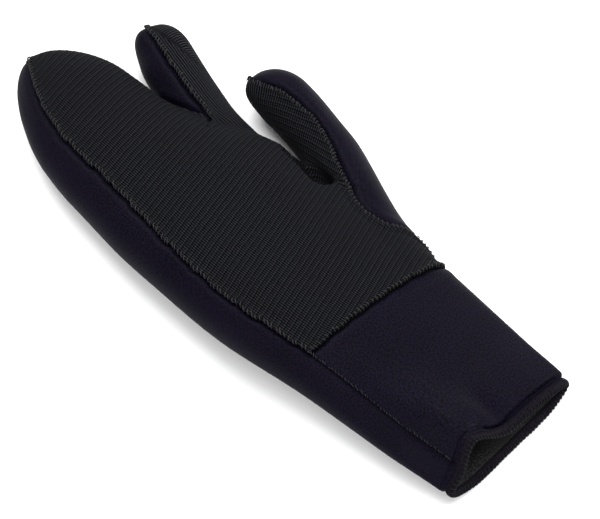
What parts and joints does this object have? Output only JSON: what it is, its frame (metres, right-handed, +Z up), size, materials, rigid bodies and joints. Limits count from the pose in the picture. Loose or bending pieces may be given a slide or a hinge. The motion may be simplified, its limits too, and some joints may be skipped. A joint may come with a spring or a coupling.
{
  "type": "three-finger diving mitt",
  "caption": "Right-hand foam-rubber diving mitt lying palm up: ribbed grip palm, smooth back and cuff, separate index and thumb pockets, wide pocket for the other fingers.",
  "frame": {"origin": "centre of the mitt's bounding box, on the surface it lies on", "axes": "+Z up out of the palm, +Y from the cuff to the finger tips, +X to the thumb side"},
  "size_m": [0.1416, 0.3252, 0.042],
  "materials": {
    "ribbed_grip_knit": "matt ribbed knit with a slightly rubbery grip",
    "smooth_nylon_foam": "matt smooth stretch nylon over foam rubber",
    "hem_foam": "matt smooth stretch nylon over foam rubber, folded into a hem"
  },
  "bodies": {
    "root": {"palm_panel": "ribbed_grip_knit", "back_panel": "smooth_nylon_foam", "back_panel_thumb": "smooth_nylon_foam", "cuff_panel": "smooth_nylon_foam", "cuff_roll": "hem_foam"}
  },
  "joints": []
}
